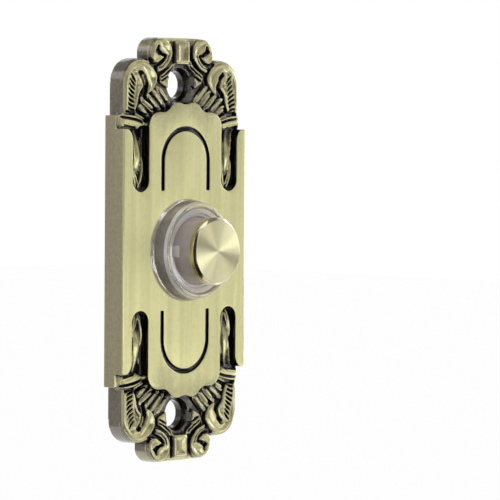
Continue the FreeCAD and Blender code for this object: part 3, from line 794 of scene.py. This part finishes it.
def spun(profile, soft, steps=160):
    """A bmesh turned from (radius, height) corners, with its sharp edges rounded."""
    mesh = bmesh.new()
    corners = [mesh.verts.new(at(r, 0, h)) for r, h in profile]
    closed = profile[0][0] > 0
    ends = corners[1:] + corners[:1] if closed else corners[1:]
    section = [mesh.edges.new(pair) for pair in zip(corners, ends)]
    bmesh.ops.spin(
        mesh, geom=corners + section, cent=(0, 0, 0), axis=(0, 1, 0), angle=2 * math.pi,
        steps=steps, use_merge=True,
    )
    bmesh.ops.remove_doubles(mesh, verts=mesh.verts, dist=0.001 * MM)
    bmesh.ops.recalc_face_normals(mesh, faces=mesh.faces)
    sharp = [e for e in mesh.edges if e.is_manifold and e.calc_face_angle() > math.radians(20)]
    bmesh.ops.bevel(
        mesh, geom=sharp, offset=soft * MM, segments=2, profile=0.5, affect="EDGES",
        material=-1, clamp_overlap=True,
    )
    return mesh


def add_block(mesh, x0, x1, z0, z1, low, high, soft):
    """A box with rounded edges, added to a bmesh."""
    made = bmesh.ops.create_cube(mesh, size=MM)["verts"]
    bmesh.ops.scale(mesh, vec=(x1 - x0, high - low, z1 - z0), verts=made)
    bmesh.ops.translate(mesh, vec=at((x0 + x1) / 2, (z0 + z1) / 2, (low + high) / 2), verts=made)
    edges = list({edge for vertex in made for edge in vertex.link_edges})
    bmesh.ops.bevel(
        mesh, geom=edges, offset=soft * MM, segments=2, profile=0.5, affect="EDGES", material=-1
    )


def placed(data, material, body, node):
    """A finished piece that stands for a node and rides on a body."""
    piece = shown(data, data.name)
    data.materials.append(material)
    for polygon in data.polygons:
        polygon.use_smooth = True
    data.set_sharp_from_angle(angle=math.radians(40))
    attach(piece, body)
    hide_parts(node)
    print(data.name, "has", len(data.polygons), "faces")
    return piece


# %% [markdown]
# The ring's rim steps down towards the plunger. On its steps, bands picked by radius take a
# bright finish, as painted bright arcs, or a smoky one, as painted dark lines. Its outer wall
# is smoky, a blasted wall whose darker tone is partly painted shade, and the bead at its foot
# is bright, a painted highlight line. Inside the plate a thin spigot passes the hole and ends
# in two hooks, which grip the switch body.

# %% Clear ring
ring_top_r, bore_r, lip_h, spigot_r, spigot_bore_r, body_front_h = 10.9, 7.5, 8.0, 9.5, 8.7, 3.8
key_half_width, key_way_r = 1.45, 8.1
steps_down = [(10.55, 0.0), (9.95, 0.05), (9.8, 0.3), (9.5, 0.32), (8.5, 0.55), (8.38, 0.8)]
steps_down += [(7.85, 0.84), (7.75, 0.98)]
section = [(spigot_bore_r, body_front_h), (spigot_r, body_front_h), (spigot_r, front), (ring_r, front)]
bead, edge_drop = 0.45, 0.75
section += [(ring_r, front + bead), (ring_top_r + 0.05, ring_top - edge_drop)]
section += [(r, ring_top - drop) for r, drop in steps_down]
section += [(bore_r, ring_top - 1.0), (bore_r, lip_h), (spigot_bore_r, lip_h)]
mesh = spun(section, 0.08)
for vertex in mesh.verts:
    x, z, height = vertex.co.x / MM, vertex.co.z / MM, -vertex.co.y / MM
    if abs(z) < key_half_width and height > lip_h - 0.1 and math.hypot(x, z) < key_way_r:
        vertex.co.x = math.copysign(key_way_r, x) * MM
hook_x, hook_thickness, hook_half, hook_low, nib_top, nib_reach = 8.5, 0.6, 2.6, 1.7, 2.5, 0.6
for side in (-1, 1):
    inner, outer = sorted((side * hook_x, side * (hook_x + hook_thickness)))
    add_block(mesh, inner, outer, -hook_half, hook_half, hook_low, body_front_h + 0.1, 0.1)
    inner, outer = sorted((side * (hook_x - nib_reach), side * (hook_x + 0.1)))
    add_block(mesh, inner, outer, -hook_half, hook_half, hook_low, nib_top, 0.1)
ring = placed(as_mesh(mesh, "ring"), ring_finish, "housing", "light_ring")
ring.visible_glossy = False
ring.visible_shadow = False
ring.data.materials.append(smoky_wall_and_shade_finish)
ring.data.materials.append(bright_arc_finish)
for polygon in ring.data.polygons:
    x, _, z = polygon.center / MM
    radius, height, up = math.hypot(x, z), -polygon.center.y / MM, -polygon.normal.y
    # Painted light on the rim's steps: bands picked by radius take the bright finish as painted bright arcs, and
    # others the smoky finish as painted dark lines.
    bright = radius > 10.6 or 8.5 < radius < 9.5 or 7.85 < radius < 8.38
    dark = 9.5 <= radius < 9.97 or 8.36 < radius < 8.52 or radius < 7.85
    # The outer wall above the bead takes the smoky finish, a blasted wall whose darker tone is partly painted
    # shade; the bead takes the bright finish, a painted highlight line.
    if radius > ring_top_r and front < height < ring_top - edge_drop:
        polygon.material_index = 1 if height > front + bead else 2
    elif height > lip_h + 0.1 and up > 0.1:
        polygon.material_index = 2 if bright else 1 if dark else 0

# %% [markdown]
# The plunger is a thick cup with a flange that the ring's lip stops, a guide rib each side,
# and a cross-shaped post that carries the contact bridge on a square peg.

# %% Plunger
plunger_r, flange_r, plunger_bore_r, roof = 7.4, 8.3, 6.3, 2.0
flange_low, flange_high = 7.0, 8.0
_, _, bridge_low, bridge_high = span("contact_bridge")
section = [(0, cap_low - roof), (plunger_bore_r, cap_low - roof), (plunger_bore_r, flange_low)]
section += [(flange_r, flange_low), (flange_r, flange_high), (plunger_r, flange_high)]
section += [(plunger_r, cap_low), (0, cap_low)]
mesh = spun(section, 0.12)
rib_low, rib_high, rib_half, rib_r = 9.0, 11.2, 1.25, 7.9
for side in (-1, 1):
    inner, outer = sorted((side * (plunger_r - 0.06), side * rib_r))
    add_block(mesh, inner, outer, -rib_half, rib_half, rib_low, rib_high, 0.12)
post_half, post_arm, peg_half = 1.5, 0.5, 0.5
add_block(mesh, -post_half, post_half, -post_arm, post_arm, bridge_high, cap_low - roof + 0.05, 0.1)
add_block(mesh, -post_arm, post_arm, -post_half, post_half, bridge_high, cap_low - roof + 0.05, 0.1)
add_block(mesh, -peg_half, peg_half, -peg_half, peg_half, bridge_low, bridge_high + 0.05, 0.05)
cup = placed(as_mesh(mesh, "button_plunger"), plunger_finish, "button", "plunger")
cup.data.materials.append(key_finish)
cup.visible_glossy = False
# The guide ribs take the paler finish, a painted highlight.
for polygon in cup.data.polygons:
    x, _, z = polygon.center / MM
    polygon.material_index = 1 if math.hypot(x, z) > plunger_r + 0.1 and -polygon.center.y / MM > rib_low else 0

# %% [markdown]
# The cap is a plain disc with one broad chamfer. Its face is turned, its edges are crisp.

# %% Cap
chamfer = 0.6
section = [(0, cap_low), (cap_r - 0.1, cap_low), (cap_r, cap_low + 0.1), (cap_r, cap_top - chamfer)]
section += [(cap_r - chamfer, cap_top), (0, cap_top)]
cap = placed(as_mesh(spun(section, 0.04, 240), "cap"), cap_face_finish, "button", "push_cap")
cap.data.materials.append(cap_edge_finish)
cap.visible_glossy = False
for polygon in cap.data.polygons:
    polygon.material_index = 0 if polygon.normal.y < -0.99 else 1

# %% [markdown]
# The spring is one wire, a small circle swept along a helix. Spin does that too, when each of
# its steps also moves the circle a little way along the axis. It stands between the switch
# body and the plunger's roof.

# %% Spring
spring_r, wire_r, spring_turns, steps_a_turn = 3.3, 0.22, 5, 32
_, _, spring_low, spring_high = span("return_spring")
rise = spring_high - spring_low - 2 * wire_r
mesh = bmesh.new()
circle = bmesh.ops.create_circle(mesh, cap_ends=True, radius=wire_r * MM, segments=12)["verts"]
bmesh.ops.translate(mesh, vec=(spring_r * MM, 0, 0), verts=circle)
bmesh.ops.translate(mesh, vec=at(0, 0, spring_low + wire_r), verts=circle)
steps = spring_turns * steps_a_turn
start = mesh.faces[:]
bmesh.ops.spin(
    mesh, geom=mesh.verts[:] + mesh.edges[:] + start, cent=(0, 0, 0), axis=(0, 1, 0),
    dvec=at(0, 0, rise / steps), angle=2 * math.pi * spring_turns, steps=steps,
)
bmesh.ops.recalc_face_normals(mesh, faces=mesh.faces)
spring = placed(as_mesh(mesh, "coil"), spring_wire, "housing", "return_spring")
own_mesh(spring)

# %% [markdown]
# A terminal screw has a flat head with a chamfered rim and a slot. The head is spun, and a
# Boolean modifier cuts the slot with a flat block.

# %% Terminal screws
slot_half, slot_depth = 0.28, 0.7
for end in ("left", "right"):
    node = "terminal_screw_" + end
    low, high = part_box(node)
    middle_x = (low[0] + high[0]) / 2 / MM
    _, _, tip, _ = span(node)
    head_r, shank_r, head_height = 2.0, 1.0, 1.4
    head_low, head_high = -high[1] / MM, -high[1] / MM + head_height
    section = [(0, head_low), (head_r - 0.45, head_low), (head_r, head_low + 0.35), (head_r, head_high)]
    section += [(shank_r, head_high), (shank_r, -low[1] / MM), (0, -low[1] / MM)]
    mesh = spun(section, 0.06, 48)
    bmesh.ops.translate(mesh, vec=at(middle_x, 0, 0), verts=mesh.verts)
    screw = shown(as_mesh(mesh, "binding_screw_" + end), "binding_screw_" + end)
    cutter = bmesh.new()
    add_block(cutter, middle_x - 3, middle_x + 3, -slot_half, slot_half, head_low - 1, head_low + slot_depth, 0.02)
    tool = shown(as_mesh(cutter, "slot_tool"), "slot_tool")
    cut = screw.modifiers.new("slot", "BOOLEAN")
    cut.operation = "DIFFERENCE"
    cut.object = tool
    apply_modifiers(screw)
    bpy.data.objects.remove(tool)
    data = screw.data
    data.name = "binding_screw_" + end
    bpy.data.objects.remove(screw)
    placed(data, steel, "housing", node)

# %% [markdown]
# The other pieces are flat-sided mouldings, stampings and small blocks, whose CAD shape is
# right as it stands. They keep it and get their finish.

# %% Finishes of the other pieces
finishes = {
    "switch_body": phenolic,
    "body_base": phenolic,
    "led_board": laminate,
    "board_resistor": ceramic,
    "contact_bridge": bronze,
    "fixed_contact_left": bronze,
    "fixed_contact_right": bronze,
    "board_lead_left": tin,
    "board_lead_right": tin,
}
finishes.update({f"led_{i + 1}": lamp_case for i in range(4)})
for name, material in finishes.items():
    data = nodes[name].data
    data.materials.clear()
    data.materials.append(material)
print("CAD pieces finished:", len(finishes))

# %% [markdown]
# The studio is white all round, and the floor is pale. Polished metal mirrors the studio, so
# a few cards stand where the camera can't see them: a dark one behind the camera, which gives
# edges that face it their black line, a grey one at the back left for the walls, and a grey
# one overhead. Two soft lamps, low in front and high at the right, give the rounded ornament
# its bright lines and the turned face its fans.

# %% Stage
floor_z = -0.5


def flat_stage(name, middle, half_width, half_height, facing, material, roll=0.0):
    """A flat rectangle that belongs to the studio, rolled in its own plane by some degrees."""
    mesh = bmesh.new()
    bmesh.ops.create_grid(mesh, x_segments=1, y_segments=1, size=1.0)
    bmesh.ops.scale(mesh, vec=(half_width, half_height, 1), verts=mesh.verts)
    turn = Vector(facing).to_track_quat("Z", "Y").to_matrix().to_4x4()
    turn = turn @ Matrix.Rotation(math.radians(roll), 4, "Z")
    bmesh.ops.transform(mesh, matrix=Matrix.Translation(middle) @ turn, verts=mesh.verts)
    piece = shown(as_mesh(mesh, name), name)
    piece.data.materials.append(material)
    return piece


def around(azimuth, elevation, distance):
    """A place round the object, with azimuth 0 in front of the plate and 90 at its right."""
    a, e = math.radians(azimuth), math.radians(elevation)
    return Vector((math.sin(a) * math.cos(e), -math.cos(a) * math.cos(e), math.sin(e))) * distance


def seen_rays(tree):
    """1 for rays from the camera, a mirror or glass, and 0 for light that falls on a surface."""
    path = add(tree, "ShaderNodeLightPath").outputs
    mirrored = add(
        tree, "ShaderNodeMath", (), {0: path["Is Glossy Ray"], 1: path["Is Transmission Ray"]},
        operation="MAXIMUM",
    )
    either = add(
        tree, "ShaderNodeMath", (), {0: path["Is Camera Ray"], 1: mirrored.outputs[0]},
        operation="MAXIMUM",
    )
    return either.outputs[0]


def paper(code):
    """Lit paper of a known brightness: it glows with its own colour and no more."""
    material, tree, output = new_material("paper " + code)
    shader = add(tree, "ShaderNodeEmission", {"Color": colour(code)})
    tree.links.new(shader.outputs[0], output.inputs["Surface"])
    return material


floor_paper, tree, output = new_material("white studio floor")
lit = add(tree, "ShaderNodeBsdfDiffuse", {"Color": colour("F4F4F2")})
glow = add(tree, "ShaderNodeEmission", {"Color": colour("FFFFFF"), "Strength": 1.0})
share = add(tree, "ShaderNodeMath", {1: 0.97}, {0: seen_rays(tree)}, operation="MULTIPLY")
floor_mix = add(
    tree, "ShaderNodeMixShader", (), {0: share.outputs[0], 1: lit.outputs[0], 2: glow.outputs[0]}
)
tree.links.new(floor_mix.outputs[0], output.inputs["Surface"])
flat_stage("floor", Vector((0, 0, floor_z)), 8, 8, (0, 0, 1), floor_paper)

fan_distance = 0.9
cards = []
for name, turn_deg, rise_deg, half_width, half_height, roll, code in (
    ("card_fan_dark", 12, 8, 0.30, 0.13, 16, "0B0B06"),
    ("card_fan_dark_right", 70, -8, 0.14, 0.04, 12, "1C1C12"),
    ("card_fan_top", 47, 31, 0.11, 0.30, 0, "403828"),
    ("card_fan_foot", 47, -34, 0.10, 0.27, 0, "7A6F5A"),
    ("card_fan_beige", 27, 27, 0.17, 0.26, -36, "FCEFE2"),
):
    facing = around(turn_deg, rise_deg, -1)
    place = around(turn_deg, rise_deg, fan_distance)
    cards.append(flat_stage(name, place, half_width, half_height, facing, paper(code), roll))
for name, middle, half_width, half_height, facing, code in (
    ("card_behind", around(-46, 0, 0.95) + Vector((0, 0, 0.27)), 0.25, 0.78, around(-46, 0, -1), "302E20"),
    ("card_back_right", around(136, 0, 0.9), 0.22, 0.30, around(136, 0, -1), "3A382C"),
    ("card_below", around(-46, 0, 0.55) + Vector((0, 0, floor_z + 0.01)), 0.40, 0.40, (0, 0, 1), "2A281D"),
    ("card_left", around(-136, 0, 0.6) + Vector((0, 0, -0.09)), 0.30, 0.27, around(-136, 0, -1), "C2BEB6"),
    ("card_over", Vector((0.1, 0.2, 0.75)), 0.7, 0.7, (0, 0, -1), "8F8B84"),
):
    cards.append(flat_stage(name, middle, half_width, half_height, facing, paper(code)))
for piece in cards:
    piece.visible_camera = False
print("cards:", len(cards))

# %% Lamps and the white round about


def soft_lamp(name, place, size, brightness):
    """An area lamp that looks at the object, its power worked out from how bright it looks."""
    lamp = bpy.data.lights.new(name, "AREA")
    lamp.shape = "RECTANGLE"
    lamp.size, lamp.size_y = size
    lamp.energy = math.pi * size[0] * size[1] * brightness
    holder = bpy.data.objects.new(name, lamp)
    bpy.context.collection.objects.link(holder)
    holder.location = place
    holder.rotation_euler = (-place).to_track_quat("-Z", "Y").to_euler()
    holder.visible_camera = False


world = bpy.data.worlds.new("studio")
bpy.context.scene.world = world
world.use_nodes = True
tree = world.node_tree
tree.nodes.clear()
fill = add(tree, "ShaderNodeBackground", {"Color": colour("FFFFFF"), "Strength": 0.6})
white = add(tree, "ShaderNodeBackground", {"Color": colour("FFFFFF"), "Strength": 1.0})
pick = add(tree, "ShaderNodeMixShader", (), {0: seen_rays(tree), 1: fill.outputs[0], 2: white.outputs[0]})
tree.links.new(pick.outputs[0], add(tree, "ShaderNodeOutputWorld").inputs["Surface"])
soft_lamp("right", around(84, 10, 0.9), (0.45, 0.45), 3.6)
soft_lamp("low_front", around(8, -18, 0.8), (0.22, 0.3), 4.3)
soft_lamp("strip_right", around(106, 4, 0.7), (0.04, 0.5), 14.0)
soft_lamp("strip_front", around(-14, -8, 0.7), (0.03, 0.4), 5.0)
soft_lamp("low_right", around(72, -34, 0.6), (0.3, 0.3), 1.5)
soft_lamp("top", around(-20, 75, 0.65), (0.5, 0.4), 1.5)

# %% [markdown]
# The camera stands to the left of the plate and slightly above its middle, far away with a
# long lens. The object sits left of the middle of the picture, so the lens is shifted.

# %% Camera
azimuth, elevation, roll = -45.994, 2.260, math.radians(0.350)
distance, focal_px, picture_px = 0.68497, 3003.4, 500
middle_px = (166.69, 249.26)
back = around(azimuth, elevation, 1.0)
right = Vector((math.cos(math.radians(azimuth)), math.sin(math.radians(azimuth)), 0))
up = back.cross(right)
turned_right = right * math.cos(roll) + up * math.sin(roll)
turned_up = up * math.cos(roll) - right * math.sin(roll)
lens = bpy.data.cameras.new("camera")
camera = bpy.data.objects.new("camera", lens)
bpy.context.collection.objects.link(camera)
pose = Matrix((turned_right, turned_up, back)).transposed().to_4x4()
camera.matrix_world = Matrix.Translation(back * distance) @ pose
lens.sensor_width = 36
lens.lens = focal_px / picture_px * lens.sensor_width
lens.shift_x = (picture_px / 2 - middle_px[0]) / picture_px
lens.shift_y = (middle_px[1] - picture_px / 2) / picture_px
lens.clip_start = 0.01
bpy.context.scene.camera = camera
bpy.context.scene.view_settings.view_transform = "Standard"
